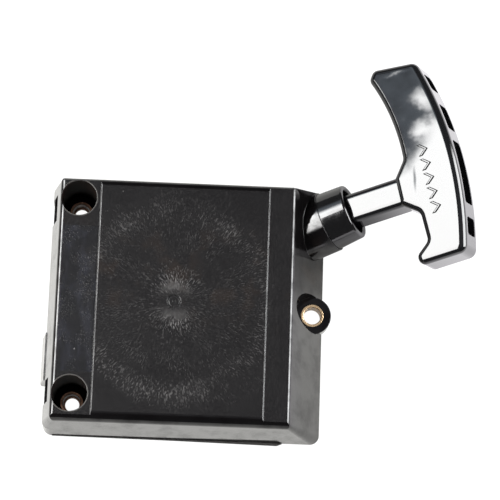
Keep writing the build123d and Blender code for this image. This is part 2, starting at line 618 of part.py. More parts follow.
def write_parts():
    os.makedirs("parts", exist_ok=True)
    nodes = {
        "housing": housing(),
        "sleeve_upper_left": footed_sleeve(*LEFT_HOLES[0]),
        "sleeve_lower_left": footed_sleeve(*LEFT_HOLES[1]),
        "sleeve_right": mounting_sleeve(*RIGHT_HOLE),
        "outlet_collar": outlet_collar(),
        "rope_eyelet": rope_eyelet(),
        "axle_sleeve": axle_sleeve(),
        "post_insert": post_insert(),
        "retaining_washer": retaining_washer(),
        "shoulder_screw": shoulder_screw(),
        "friction_spring": friction_spring(),
        "spring_cassette": spring_cassette(),
        "recoil_spring": recoil_spring(),
        "spring_cover": spring_cover(),
        "cover_screws": cover_screws(),
        "reel": reel(),
        "reel_bearing": reel_bearing(),
        "rope_coil": rope_coil(),
        "rope_lead": rope_lead(),
        "pawl_pins": pawl_pins(),
        "pawl_a": pawl(pawl_angles()[0]),
        "pawl_b": pawl(pawl_angles()[1]),
        "guide_plate": guide_plate(),
        "grip": grip(),
        "knot_washer": knot_washer(),
        "grip_knot": grip_knot(),
    }
    for name, shape in nodes.items():
        export_step(shape, f"parts/{name}.step")


write_parts()
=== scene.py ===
"""Looks for the recoil starter: materials, braided rope, studio and camera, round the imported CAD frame.

The part lies on its mounting face with +z up. Objects are placed in metres in the frame of the CAD part, and
materials measure in millimetres."""

import json
import math

import bpy
import numpy as np
from mathutils import Matrix, Vector


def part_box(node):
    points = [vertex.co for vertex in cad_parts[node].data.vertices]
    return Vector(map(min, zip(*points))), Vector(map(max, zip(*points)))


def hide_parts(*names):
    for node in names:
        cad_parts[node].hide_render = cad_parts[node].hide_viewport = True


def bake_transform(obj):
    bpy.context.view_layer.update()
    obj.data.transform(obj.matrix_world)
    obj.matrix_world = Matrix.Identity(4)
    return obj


MM = 0.001

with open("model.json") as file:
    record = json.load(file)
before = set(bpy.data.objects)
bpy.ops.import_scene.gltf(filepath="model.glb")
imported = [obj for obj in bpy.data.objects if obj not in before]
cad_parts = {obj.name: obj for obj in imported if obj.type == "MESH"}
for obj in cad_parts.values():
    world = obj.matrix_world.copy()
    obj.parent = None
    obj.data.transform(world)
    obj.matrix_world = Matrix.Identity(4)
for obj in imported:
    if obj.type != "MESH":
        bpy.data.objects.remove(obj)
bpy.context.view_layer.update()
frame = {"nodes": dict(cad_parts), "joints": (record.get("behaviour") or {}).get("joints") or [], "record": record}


def centre_of(node):
    low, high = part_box(node)
    return (low + high) / 2


def grip_joint():
    return next(joint for joint in frame["joints"] if joint["name"] == "grip_pull")


def pull_line():
    """Direction in which the grip is pulled."""
    return Vector(grip_joint()["axis"]).normalized()


def add_object(name, data):
    added = bpy.data.objects.new(name, data)
    bpy.context.scene.collection.objects.link(added)
    return added


# ---------------------------------------------------------------- node trees


class Graph:
    """The node tree of a material or a world. Most methods return the output socket of the node they add."""

    SHORT_NAMES = {"color": "Base Color", "rough": "Roughness", "metal": "Metallic", "normal": "Normal",
                   "ior": "IOR", "specular": "Specular IOR Level", "sheen": "Sheen Weight",
                   "sheen_rough": "Sheen Roughness", "scatter": "Subsurface Weight",
                   "scatter_scale": "Subsurface Scale"}

    def __init__(self, owner):
        owner.use_nodes = True
        self.owner = owner
        self.tree = owner.node_tree
        self.tree.nodes.clear()

    def add(self, kind, values=None, **settings):
        node = self.tree.nodes.new("ShaderNode" + kind)
        for key, value in settings.items():
            setattr(node, key, value)
        for socket, value in (values or {}).items():
            self.put(node.inputs[socket], value)
        return node

    def put(self, socket, value):
        if isinstance(value, bpy.types.NodeSocket):
            self.tree.links.new(value, socket)
        elif socket.type == "RGBA" and len(value) == 3:
            socket.default_value = (*value, 1.0)
        else:
            socket.default_value = value

    # numbers

    def math(self, operation, a, b=0.0):
        return self.add("Math", {0: a, 1: b}, operation=operation).outputs[0]

    def times(self, *factors):
        result = factors[0]
        for factor in factors[1:]:
            result = self.math("MULTIPLY", result, factor)
        return result

    def plus(self, *terms):
        result = terms[0]
        for term in terms[1:]:
            result = self.math("ADD", result, term)
        return result

    def minus(self, a, b):
        return self.math("SUBTRACT", a, b)

    def abs(self, value):
        return self.math("ABSOLUTE", value)

    def step(self, value, low, high):
        """0 below low and 1 above high, smooth between. Falls instead if low is above high."""
        inputs = {"Value": value, "From Min": low, "From Max": high}
        return self.add("MapRange", inputs, interpolation_type="SMOOTHSTEP").outputs[0]

    def hump(self, value, centre, half_width):
        """1 at centre, falling to 0 half_width away."""
        return self.step(self.abs(self.minus(value, centre)), half_width, 0.0)

    def blend(self, share, a, b):
        """Number between a and b."""
        node = self.add("Mix", data_type="FLOAT")
        for index, value in ((0, share), (2, a), (3, b)):
            self.put(node.inputs[index], value)
        return node.outputs[0]

    def mix(self, share, a, b):
        """Colour between a and b."""
        node = self.add("Mix", data_type="RGBA")
        for index, value in ((0, share), (6, a), (7, b)):
            self.put(node.inputs[index], value)
        return node.outputs[2]

    # vectors

    def vector(self, x, y, z):
        return self.add("CombineXYZ", {0: x, 1: y, 2: z}).outputs[0]

    def split(self, vector):
        """The vector's x, y and z."""
        return self.add("SeparateXYZ", {0: vector}).outputs

    def length(self, vector):
        return self.add("VectorMath", {0: vector}, operation="LENGTH").outputs["Value"]

    def unit(self, vector):
        return self.add("VectorMath", {0: vector}, operation="NORMALIZE").outputs[0]

    def dot(self, a, b):
        return self.add("VectorMath", {0: a, 1: b}, operation="DOT_PRODUCT").outputs["Value"]

    def scaled(self, vector, factor):
        return self.add("VectorMath", {0: vector, 3: factor}, operation="SCALE").outputs[0]

    # the place being shaded

    def place(self):
        """Position in the CAD frame in millimetres: (vector, x, y, z)."""
        vector = self.scaled(self.add("TexCoord").outputs["Object"], 1 / MM)
        return (vector, *self.split(vector))

    def facing(self):
        """Surface normal in the CAD frame, before any bump."""
        return self.add("TexCoord").outputs["Normal"]

    def distance(self, x, y, centre):
        """Distance in plan from a centre in millimetres."""
        return self.length(self.vector(self.minus(x, centre.x), self.minus(y, centre.y), 0.0))

    def noise(self, vector, size, detail=2.0, rough=0.5):
        """Noise whose features are about size units of the vector across."""
        inputs = {"Vector": vector, "Scale": 1.0 / size, "Detail": detail, "Roughness": rough}
        return self.add("TexNoise", inputs).outputs[0]

    def cells(self, vector, size):
        inputs = {"Vector": vector, "Scale": 1 / size, "Randomness": 1.0}
        return self.add("TexVoronoi", inputs, feature="F1").outputs

    def seen(self):
        """1 for what the camera sees directly, 0 for what lights or is mirrored in something else."""
        return self.add("LightPath").outputs["Is Camera Ray"]

    # surfaces

    def bump(self, height_mm, normal=None):
        """Normal for a height given in millimetres."""
        inputs = {"Strength": 1.0, "Distance": MM, "Height": height_mm}
        if normal is not None:
            inputs["Normal"] = normal
        return self.add("Bump", inputs).outputs[0]

    def rounded(self, radius_mm):
        """Normal with every sharp edge rounded to this radius."""
        return self.add("Bevel", {"Radius": radius_mm * MM}, samples=6).outputs[0]

    def edge(self, radius_mm):
        """1 on sharp edges, 0 on smooth faces."""
        true = self.add("NewGeometry").outputs["Normal"]
        return self.step(self.dot(self.rounded(radius_mm), true), 0.995, 0.9)

    def emission(self, color, strength):
        return self.add("Emission", {"Color": color, "Strength": strength}).outputs[0]

    def clear(self):
        return self.add("BsdfTransparent").outputs[0]

    def together(self, a, b):
        return self.add("AddShader", {0: a, 1: b}).outputs[0]

    def either(self, share, a, b):
        """Shader a where share is 0, and b where it is 1."""
        return self.add("MixShader", {0: share, 1: a, 2: b}).outputs[0]

    def two_sided(self, front, back):
        return self.either(self.add("NewGeometry").outputs["Backfacing"], front, back)

    def finish(self, shader):
        self.add("OutputMaterial", {0: shader})
        return self.owner

    def principled(self, **inputs):
        node = self.add("BsdfPrincipled", {self.SHORT_NAMES[key]: value for key, value in inputs.items()})
        return self.finish(node.outputs[0])


def new_material(name):
    return Graph(bpy.data.materials.new(name))


# ---------------------------------------------------------------- housing

PANEL_LEFT, PANEL_RIGHT = -37.3, 44.6   # edges of the raised middle panel of the front
STRIP_HALF = 36.0                       # half the length of the sunk strip left of it
COUNTERBORE_R = 8.7
PLASTIC_DARK, PLASTIC_LIGHT = (0.0012, 0.0010, 0.0011), (0.0019, 0.0017, 0.0018)
# painted reflection: the sunk strip's bluish look, even and then stronger in patches
STRIP_PAINTED_REFLECTION, STRIP_PAINTED_SHEEN = (0.0022, 0.0024, 0.0030), (0.0085, 0.0090, 0.0125)
WARM_PATCH, SPECKLE = (0.0075, 0.0046, 0.0030), (0.0074, 0.0069, 0.0070)
# of these, the rim colour is a painted highlight round the counterbore rims
RUBBED, RIM_PAINTED_HIGHLIGHT, WORN_EDGE = (0.050, 0.048, 0.047), (0.050, 0.047, 0.043), (0.03, 0.03, 0.03)
BORE_BROWN, BEAD_BLACK = (0.0060, 0.0038, 0.0032), (0.018, 0.017, 0.016)


def scuffs(g, vector, x, y):
    """Short pale streaks that run out from the gate mark, thickest beside it and round a worn ring, and the
    haze they leave: (streaks, haze)."""
    flat = g.vector(x, y, 0.0)
    away = g.length(flat)
    ux, uy, _ = g.split(g.unit(flat))
    layers = []
    for reach, low, high, size in ((14.0, 0.0, 26.0, 0.55), (44.0, 16.0, 62.0, 0.6)):
        around = g.vector(g.times(ux, reach), g.times(uy, reach), g.times(away, 0.34))
        streak = g.step(g.noise(around, size, detail=2.5, rough=0.6), 0.50, 0.72)
        layers.append(g.times(streak, g.hump(away, (low + high) / 2, (high - low) / 2 + 8)))
    streaks = g.math("MAXIMUM", *layers)
    clumps = g.step(g.noise(vector, 12.0, detail=3.0, rough=0.6), 0.34, 0.66)
    vertical = g.math("POWER", g.abs(uy), 1.6)
    ring = g.times(g.hump(away, 45.0, 9.0), g.plus(g.times(vertical, 0.8), 0.3))
    inner_dark = g.times(g.hump(away, 38.5, 4.0), 0.12)
    beside_gate = g.times(g.hump(away, 9.5, 9.0), g.plus(vertical, 0.06))
    outer = g.times(g.hump(away, 26.0, 16.0), 0.22)
    amount = g.minus(g.plus(0.20, g.times(ring, 0.5), beside_gate, outer), inner_dark)
    amount = g.times(amount, g.plus(g.times(clumps, 0.8), 0.4))
    haze = g.plus(g.times(ring, 0.10), g.times(g.hump(away, 7.5, 5.5), vertical, 0.5))
    return g.times(streaks, amount), g.times(haze, g.plus(clumps, 0.3))


def nicks(g, vector):
    """A few small bright marks from handling."""
    return g.step(g.cells(vector, 13.0)["Distance"], 0.045, 0.02)


def strip_sheen_and_ticks(g, vector, x, y):
    """Patches of painted bluish reflection on the sunk strip, and the fine ticks scratched in it, in that order.
    """
    sheen_patches = g.noise(g.vector(g.times(x, 1.6), g.times(y, 0.8), 3.0), 10.0, detail=4.0, rough=0.6)
    slanted = g.vector(g.plus(g.times(x, 1.3), g.times(y, 0.5)), g.times(y, 0.55), 0.0)
    ticks = g.step(g.noise(slanted, 0.6), 0.56, 0.72)
    return g.step(sheen_patches, 0.42, 0.68), g.times(ticks, g.step(g.noise(vector, 8.0, detail=3.0), 0.42, 0.6))


def left_bores(g, x, y, z, front_z):
    """Inside of the two left counterbores, and a painted highlight round their rims, in that order."""
    bore, rim_highlight = 0.0, 0.0
    for node in ("sleeve_upper_left", "sleeve_lower_left"):
        away = g.distance(x, y, centre_of(node) / MM)
        bore = g.math("MAXIMUM", bore, g.step(away, COUNTERBORE_R + 0.16, COUNTERBORE_R + 0.08))
        rim_highlight = g.math("MAXIMUM", rim_highlight, g.hump(away, COUNTERBORE_R + 0.25, 0.4))
    return g.times(bore, g.step(z, front_z - 0.5, front_z - 2.0)), rim_highlight


def housing_plastic():
    """Black plastic: finely textured and scuffed on the front, polished and smeared on the walls."""
    g = new_material("housing_plastic")
    vector, x, y, z = g.place()
    low, high = (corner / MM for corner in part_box("housing"))
    nz = g.split(g.facing())[2]
    front = g.times(g.step(z, high.z - 2.0, high.z - 1.4), g.step(nz, 0.984, 0.997))
    wall = g.step(nz, 0.75, 0.6)
    panel_area = g.times(g.step(x, PANEL_LEFT - 0.3, PANEL_LEFT + 0.3),
                         g.step(x, PANEL_RIGHT + 0.3, PANEL_RIGHT - 0.3))
    strip = g.times(g.step(x, PANEL_LEFT + 0.1, PANEL_LEFT - 0.7),
                    g.step(g.abs(y), STRIP_HALF + 0.3, STRIP_HALF - 0.3), front)
    stub = g.times(g.step(x, 71.0, 76.0), g.step(y, 30.0, 36.0))
    bead = g.times(g.step(y, low.y + 1.35, low.y + 1.15), g.step(z, 2.2, 1.6))
    bore, rim_highlight = left_bores(g, x, y, z, high.z)

    cloud = g.noise(vector, 16.0, detail=3.0, rough=0.55)
    warm = g.times(g.step(g.noise(g.vector(x, y, 7.0), 11.0), 0.5, 0.72), g.hump(y, 14.0, 34.0))
    color = g.mix(g.step(cloud, 0.35, 0.7), PLASTIC_DARK, PLASTIC_LIGHT)
    color = g.mix(g.times(warm, 0.6), color, WARM_PATCH)
    # painted reflection: an even bluish tint over the sunk strip
    color = g.mix(g.times(strip, 0.8), color, STRIP_PAINTED_REFLECTION)
    sheen_patches, ticks = strip_sheen_and_ticks(g, vector, x, y)
    # painted reflection: stronger bluish patches on the sunk strip
    color = g.mix(g.times(strip, sheen_patches, 0.7), color, STRIP_PAINTED_SHEEN)
    speckle = g.step(g.noise(vector, 0.8, rough=0.7), 0.44, 0.68)
    color = g.mix(g.times(front, speckle, 0.60), color, SPECKLE)
    streaks, haze = scuffs(g, vector, x, y)
    marks = g.plus(g.times(streaks, g.blend(panel_area, 0.4, 1.0)), g.times(haze, 0.4),
                   g.times(nicks(g, vector), 0.8), g.times(ticks, strip, 0.45))
    marks = g.math("MINIMUM", g.times(front, marks), 1.0)
    color = g.mix(marks, color, RUBBED)
    color = g.mix(bore, color, BORE_BROWN)
    # painted highlight: a thin light ring round each left counterbore on the front
    color = g.mix(g.times(rim_highlight, front, 0.7), color, RIM_PAINTED_HIGHLIGHT)
    color = g.mix(bead, color, BEAD_BLACK)
    worn = g.times(g.edge(0.45), g.step(g.noise(vector, 2.6, detail=3.0), 0.35, 0.6))
    color = g.mix(g.times(worn, 0.5), color, WORN_EDGE)

    smear = g.noise(g.vector(x, y, g.times(z, 0.5)), 9.0, detail=5.0, rough=0.60)
    smear = g.step(smear, 0.36, 0.70)
    rough = g.blend(front, g.blend(smear, 0.07, 0.16), g.blend(g.step(cloud, 0.3, 0.7), 0.25, 0.27))
    rough = g.plus(rough, g.times(stub, 0.26), g.times(bead, 0.3))
    rough = g.blend(bore, g.plus(rough, g.times(marks, 0.12)), 0.55)
    shine = g.blend(bore, g.blend(front, g.blend(smear, 0.53, 0.22), 0.41), 0.05)
    shine = g.times(shine, g.blend(stub, 1.0, 0.62))

    ripple = g.times(g.noise(vector, 3.4, rough=0.4), 0.012)
    pits = g.times(g.step(g.noise(vector, 1.3), 0.66, 0.74), wall, -0.012)
    texture = g.times(front, g.plus(g.times(speckle, 0.012), g.times(streaks, 0.02)))
    height = g.plus(g.times(ripple, g.blend(front, 1.0, 0.3)), pits, texture)
    normal = g.bump(height, g.rounded(0.35))
    return g.principled(color=color, rough=rough, normal=normal, specular=shine, ior=1.5)


def collar_plastic():
    """Glossy black plastic with smears and a little dust."""
    g = new_material("collar_plastic")
    vector = g.place()[0]
    smear = g.noise(vector, 6.0, detail=4.0, rough=0.6)
    dust = g.step(g.noise(vector, 0.7), 0.70, 0.78)
    color = g.mix(g.times(dust, 0.35), (0.0030, 0.0030, 0.0031), (0.03, 0.03, 0.03))
    rough = g.plus(g.blend(g.step(smear, 0.4, 0.7), 0.07, 0.15), g.times(dust, 0.1))
    height = g.plus(g.times(g.noise(vector, 4.5, detail=1.0), 0.02), g.times(g.noise(vector, 0.9), 0.001))
    return g.principled(color=color, rough=rough, normal=g.bump(height, g.rounded(0.3)), ior=1.5)


# ---------------------------------------------------------------- grip

GRIP_ROLL = math.radians(4.5)   # turn of the grip about the pull line
GRIP_LEAN = 0.14                # slope of the leaning face
# shallow sinks in the face, over the thick places: out and side from the knot, width, length, depth
GRIP_SINKS = ((6.0, 41.3, 13.0, 10.0, 0.9), (3.5, 26.5, 12.0, 9.0, 0.9), (-4.0, 58.5, 11.0, 3.0, 0.6))


def grip_axes():
    """Axes of the grip: along the pull line, across it along the T, and out of its front."""
    along = pull_line()
    up = (Vector((0, 0, 1)) - along * along.z).normalized()
    front = up * math.cos(GRIP_ROLL) + up.cross(along) * math.sin(GRIP_ROLL)
    return along, front.cross(along), front


def grip_lean(g, vector, out, side):
    """How far each place of the face leans away: most on the long arm, but not in its sinks."""
    wander = g.times(g.minus(g.noise(vector, 6.0), 0.5), 9.0)
    outer = g.math("MAXIMUM", g.plus(out, 8.3), 0.0)
    lean = g.step(g.plus(g.minus(side, g.times(outer, 0.95)), g.times(wander, 0.6)), 1.0, 18.0)
    for sink_out, sink_side, width, length, depth in GRIP_SINKS:
        place = g.vector(g.times(g.plus(g.minus(out, sink_out), wander), 1 / width),
                         g.times(g.plus(g.minus(side, sink_side), wander), 1 / length), 0.0)
        sink = g.step(g.length(place), 1.0, 0.0)
        lean = g.times(lean, g.minus(1.0, g.times(sink, depth)))
    lean = g.plus(lean, g.times(g.minus(g.noise(vector, 9.0), 0.5), lean, 0.9))
    # a narrow flow mark where the stem widens into the T
    mark = g.vector(g.times(g.plus(out, 7.2, g.times(side, -0.18), g.times(wander, 0.12)), 1 / 1.7),
                    g.times(g.minus(side, 3.0), 1 / 13.0), 0.0)
    lean = g.math("MAXIMUM", lean, g.times(g.step(g.length(mark), 1.0, 0.0), 0.8))
    # the side towards the palm leans less
    palm_side = g.times(g.step(g.plus(out, g.times(side, 0.16), g.times(wander, 0.25)), 9.5, 16.5),
                        g.step(g.plus(side, wander), 57.0, 44.0))
    return g.times(lean, g.minus(1.0, g.times(palm_side, 0.42)))


def grip_plastic():
    """Polished black plastic with hair scratches. The long arm of its face leans away slightly."""
    g = new_material("grip_plastic")
    vector = g.place()[0]
    along, across, front = grip_axes()
    knot = centre_of("knot_washer") / MM
    out, side, height = (g.minus(g.dot(vector, axis), axis.dot(knot)) for axis in (along, across, front))
    smear = g.step(g.noise(vector, 9.0, detail=3.0, rough=0.55), 0.35, 0.7)
    hairs = g.noise(g.vector(g.times(out, 0.25), g.times(side, 1.6), height), 0.9)
    color = g.mix(g.step(hairs, 0.72, 0.8), (0.0030, 0.0031, 0.0034), (0.02, 0.02, 0.021))
    rough = g.plus(g.blend(smear, 0.055, 0.10), g.times(g.step(hairs, 0.6, 0.8), 0.06))
    broad = g.times(g.noise(vector, 17.0, detail=1.5, rough=0.4), 0.06)
    fine = g.times(g.noise(vector, 5.0, detail=1.0), 0.012)
    normal = g.bump(g.plus(broad, fine), g.rounded(0.25))
    on_face = g.step(g.dot(g.facing(), front), 0.985, 0.998)
    lean = g.scaled(across, g.times(grip_lean(g, vector, out, side), on_face, GRIP_LEAN))
    normal = g.unit(g.add("VectorMath", {0: normal, 1: lean}, operation="ADD").outputs[0])
    return g.principled(color=color, rough=rough, normal=normal, ior=1.5)


# ---------------------------------------------------------------- parts inside, and the sleeves


def nylon():
    """Natural nylon, slightly translucent, with turned-looking flow rings and grey dust from the engine."""
    g = new_material("nylon")
    vector, x, y, z = g.place()
    away = g.length(g.vector(x, y, 0.0))
    dirt = g.step(g.noise(vector, 8.0, detail=5.0, rough=0.65), 0.48, 0.75)
    color = g.mix(g.times(dirt, 0.45), (0.74, 0.71, 0.62), (0.40, 0.37, 0.31))
    color = g.mix(g.times(g.edge(0.4), 0.25), color, (0.85, 0.83, 0.77))
    rings = g.times(g.math("SINE", g.times(away, 5.2)), 0.004)
    height = g.plus(rings, g.times(g.noise(vector, 0.8, detail=3.0), 0.010))
    normal = g.bump(height, g.rounded(0.3))
    return g.principled(color=color, rough=g.blend(dirt, 0.38, 0.6), normal=normal, scatter=0.15,
                        scatter_scale=0.002)


def bearing_plastic():
    """Dark bearing plastic, polished in bands by the turning."""
    g = new_material("bearing_plastic")
    vector, x, y, z = g.place()
    wear = g.step(g.noise(g.vector(x, y, g.times(z, 4.0)), 2.2, detail=4.0), 0.45, 0.7)
    color = g.mix(wear, (0.10, 0.10, 0.11), (0.17, 0.17, 0.18))
    height = g.times(g.noise(g.vector(x, y, g.times(z, 6.0)), 1.2, detail=3.0), 0.012)
    normal = g.bump(height, g.rounded(0.25))
    return g.principled(color=color, rough=g.blend(wear, 0.3, 0.45), normal=normal)


# bright colour, dark colour, share tarnished, strength of the painted shade in the bore, share that is dull oxide
TARNISHED_BRASS = ((0.80, 0.46, 0.30), (0.42, 0.23, 0.145), 0.30, 0.95, 0.4)
CLEAN_BRASS = ((0.66, 0.48, 0.29), (0.40, 0.25, 0.13), 0.15, 0.55, 0.25)
# colour of the painted shade inside the sleeve bores
BORE_SHADE_COLOR = (0.030, 0.018, 0.012)


def brass(name, node, bright, dark, tarnish, bore_shade, dull):
    """Turned brass: fine tool rings about the sleeve's own axis, tarnished, with painted shade darkening its bore.
    """
    g = new_material(name)
    vector, x, y, z = g.place()
    away = g.distance(x, y, centre_of(node) / MM)
    stain = g.noise(vector, 2.8, detail=4.0, rough=0.62)
    share = g.step(stain, 0.72 - tarnish, 0.95 - tarnish)
    color = g.mix(share, bright, dark)
    color = g.mix(g.times(g.edge(0.25), 0.5), color, tuple(min(1.0, 1.15 * c) for c in bright))
    upright = g.step(g.abs(g.split(g.facing())[2]), 0.9, 0.5)
    # painted shade: the upright walls inside the bore are darkened
    shaded_bore = g.times(upright, g.step(away, 4.9, 4.6), bore_shade)
    color = g.mix(shaded_bore, color, BORE_SHADE_COLOR)
    rings = g.times(g.math("SINE", g.times(g.plus(away, g.times(z, 0.8)), 22.0)), 0.0016)
    height = g.plus(rings, g.times(g.noise(vector, 0.7, detail=3.0), 0.006))
    rough = g.plus(g.blend(share, 0.22, 0.42), g.times(shaded_bore, 0.25))
    metal = g.math("MAXIMUM", g.minus(1.0 - dull, shaded_bore), 0.03)
    normal = g.bump(height, g.rounded(0.2))
    return g.principled(color=color, rough=rough, metal=metal, specular=0.15, normal=normal)


def zinc_steel():
    """Zinc-plated steel: spangled, stained, and brighter where its edges rub."""
    g = new_material("zinc_steel")
    vector = g.place()[0]
    tone = g.split(g.cells(vector, 2.4)["Color"])[0]
    stain = g.step(g.noise(vector, 6.0, detail=5.0, rough=0.65), 0.5, 0.78)
    color = g.mix(g.times(tone, 0.35), (0.60, 0.61, 0.62), (0.70, 0.70, 0.69))
    color = g.mix(g.times(stain, 0.5), color, (0.46, 0.43, 0.37))
    color = g.mix(g.times(g.edge(0.35), 0.6), color, (0.80, 0.80, 0.80))
    rough = g.plus(g.blend(stain, 0.24, 0.44), g.times(tone, 0.08))
    height = g.plus(g.times(g.noise(vector, 0.5, detail=3.0), 0.006), g.times(g.noise(vector, 3.0), 0.015))
    return g.principled(color=color, rough=rough, metal=1.0, normal=g.bump(height, g.rounded(0.2)))


def spring_steel():
    """Blued spring steel with drawing marks and a film of oil."""
    g = new_material("spring_steel")
    vector, x, y, z = g.place()
    drawn = g.noise(g.vector(g.times(x, 0.5), g.times(y, 0.5), g.times(z, 9.0)), 1.0, detail=3.0)
    oil = g.step(g.noise(vector, 7.0, detail=4.0), 0.45, 0.7)
    color = g.mix(oil, (0.19, 0.20, 0.25), (0.27, 0.24, 0.20))
    color = g.mix(g.times(g.edge(0.2), 0.6), color, (0.45, 0.45, 0.47))
    normal = g.bump(g.times(drawn, 0.008), g.rounded(0.12))
    return g.principled(color=color, rough=g.blend(oil, 0.30, 0.2), metal=1.0, normal=normal)


# ---------------------------------------------------------------- rope

ROPE_R = 2.1 * MM
ROPE_LEVEL = 15.0 * MM      # height at which the coil lies and the rope leaves it
COIL_R = 39.9 * MM          # outermost turn of the coil, at the rope's centre line
TOUCH_GAP = 0.3 * MM        # keeps the end of the free rope just off the coil
BEND_R = 9.0 * MM           # round the eyelet
BEND_STEPS = 14
KNOT_DEPTH = 2.0 * MM       # how far the rope runs beyond the middle of the knot's washer
STRANDS = 8                 # carriers each way round the braid, every second one dark
BRAID_PITCH = 15 * MM       # one turn of a carrier, on the drawn rope
BRAID_DEPTH = 0.14          # share of the radius
RING_GAP = 0.55 * MM        # between rings of the mesh, on the drawn rope
SIDES = 48
# the second colour is painted shade for the valleys of the braid
FLECK_DARK, VALLEY_PAINTED_SHADE = (0.012, 0.012, 0.014), (0.016, 0.015, 0.014)


def rope_material(name, braided):
    """Dark-flecked cord: the free rope carries its own braid, with painted shade in its valleys, and the rest
    takes flecks from its place.
    """
    g = new_material(name)
    vector, x, y, z = g.place()
    fibre = g.noise(g.vector(x, y, g.times(z, 1.4)), 0.32, detail=3.0, rough=0.6)
    color = g.mix(g.step(fibre, 0.35, 0.7), (0.060, 0.059, 0.055), (0.105, 0.102, 0.094))
    if braided:
        flecks = g.add("Attribute", attribute_name="tracer").outputs["Fac"]
        valley_shade = g.add("Attribute", attribute_name="valley_shade").outputs["Fac"]
        color = g.mix(flecks, color, FLECK_DARK)
        # painted shade: darker in the valleys between the braid's strands
        color = g.mix(g.times(valley_shade, 0.8), color, VALLEY_PAINTED_SHADE)
    else:
        flecks = g.step(g.noise(vector, 1.1, detail=1.0), 0.50, 0.56)
        color = g.mix(flecks, color, FLECK_DARK)
    grime = g.step(g.noise(vector, 5.0, detail=4.0), 0.5, 0.75)
    color = g.mix(g.times(grime, 0.35), color, (0.045, 0.038, 0.030))
    normal = g.bump(g.times(fibre, 0.05))
    return g.principled(color=color, rough=0.82, normal=normal, sheen=0.35, sheen_rough=0.5, specular=0.25)


def rope_path():
    """Centre line of the free rope at rest: its start on the coil, the points of its turn round the eyelet,
    and its end at the knot."""
    along = pull_line()
    washer = centre_of("knot_washer")
    end = washer + along * KNOT_DEPTH
    corner = washer + along * ((ROPE_LEVEL - washer.z) / along.z)
    tangent = math.atan2(corner.y, corner.x) + math.acos(COIL_R / math.hypot(corner.x, corner.y))
    start = Vector((COIL_R * math.cos(tangent), COIL_R * math.sin(tangent), ROPE_LEVEL))
    start += (corner - start).normalized() * TOUCH_GAP
    into = (corner - start).normalized()
    half = into.angle(along) / 2
    first = corner - into * (BEND_R * math.tan(half))
    centre = first + (along - into * into.dot(along)).normalized() * BEND_R
    axis = into.cross(along).normalized()
    turn = []
    for i in range(BEND_STEPS + 1):
        spin = Matrix.Rotation(2 * half * i / BEND_STEPS, 3, axis)
        turn.append(centre + spin @ (first - centre))
    return start, turn, end


def rope_stations():
    """Rings of the rope, each (centre, direction, distance along the drawn rope), and both ends of the run
    that stretches."""
    start, turn, end = rope_path()
    along = pull_line()
    last = turn[-1]
    length = (turn[0] - start).length
    into = (turn[0] - start).normalized()
    count = int(length / RING_GAP)
    stations = []
    for i in range(count):
        share = i / count
        stations.append((start.lerp(turn[0], share), into, share * length))
    for i, point in enumerate(turn[:-1]):
        ahead, behind = turn[i + 1], turn[max(0, i - 1)]
        stations.append((point, (ahead - behind).normalized(), length))
        length += (ahead - point).length
    # the last run stretches as the grip is drawn, so its rings are spaced evenly on the drawn rope
    run = (end - last).length
    drawn = grip_joint()["range_m"][1]
    shares = np.linspace(0, 1, 4000)
    reach = shares * run + drawn * shares * shares * (3 - 2 * shares)
    for distance in np.arange(0, reach[-1], RING_GAP):
        share = float(np.interp(distance, reach, shares))
        stations.append((last.lerp(end, share), along, length + float(distance)))
    stations.append((end.copy(), along, length + float(reach[-1])))
    return stations, last, end


def braid(angle, distance):
    """Height, painted shade for the valleys between strands, and dark flecks of a two-over-two braid at this place
    on the rope.
    """
    turn = 2 * math.pi * distance / BRAID_PITCH
    right = (angle + turn) * STRANDS / 2
    left = (angle - turn) * STRANDS / 2
    over = 0.5 + 0.5 * np.sin(right + left) * np.sin(right - left)
    height = over * np.abs(np.cos(right)) ** 0.6 + (1 - over) * np.abs(np.cos(left)) ** 0.6
    strand = np.floor((right / math.pi) + 0.5) % STRANDS
    flecks = ((strand % 2) == 0) * over
    return height, 1 - np.clip(height * 1.25, 0, 1), flecks


def tube_faces(rings):
    """Faces that join rings of SIDES vertices, closed at both ends."""
    faces = []
    for i in range(rings - 1):
        for k in range(SIDES):
            n = (k + 1) % SIDES
            faces.append((i * SIDES + k, i * SIDES + n, (i + 1) * SIDES + n, (i + 1) * SIDES + k))
    faces.append(tuple(reversed(range(SIDES))))
    faces.append(tuple((rings - 1) * SIDES + k for k in range(SIDES)))
    return faces


def free_rope():
    """The braided rope from the reel to the knot. It replaces the CAD rope, and the rings of its last run are
    spaced for the rope drawn out with the grip.
    """
    stations, last, end = rope_stations()
    angles = np.linspace(0, 2 * math.pi, SIDES, endpoint=False)
    rings, valley_shades, tracers = [], [], []
    side = Vector((0, 0, 1))
    for centre, along, distance in stations:
        side = (side - along * side.dot(along)).normalized()
        other = along.cross(side)
        height, valley_shade, tracer = braid(angles, distance)
        radius = ROPE_R * (1 - BRAID_DEPTH + BRAID_DEPTH * height)
        around = np.outer(np.cos(angles), side) + np.outer(np.sin(angles), other)
        rings.append(np.array(centre) + radius[:, None] * around)
        valley_shades.append(valley_shade)
        tracers.append(tracer)
    mesh = bpy.data.meshes.new("starter_rope")
    mesh.from_pydata([tuple(v) for v in np.concatenate(rings)], [], tube_faces(len(rings)))
    for name, values in (("valley_shade", valley_shades), ("tracer", tracers)):
        layer = mesh.attributes.new(name, "FLOAT", "POINT")
        layer.data.foreach_set("value", np.concatenate(values).astype(np.float32))
    mesh.shade_smooth()
    mesh.materials.append(rope_material("rope_braid", braided=True))
    rope = add_object("starter_rope", mesh)
    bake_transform(rope)
    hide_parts("rope_lead")


# ---------------------------------------------------------------- dressing the CAD nodes


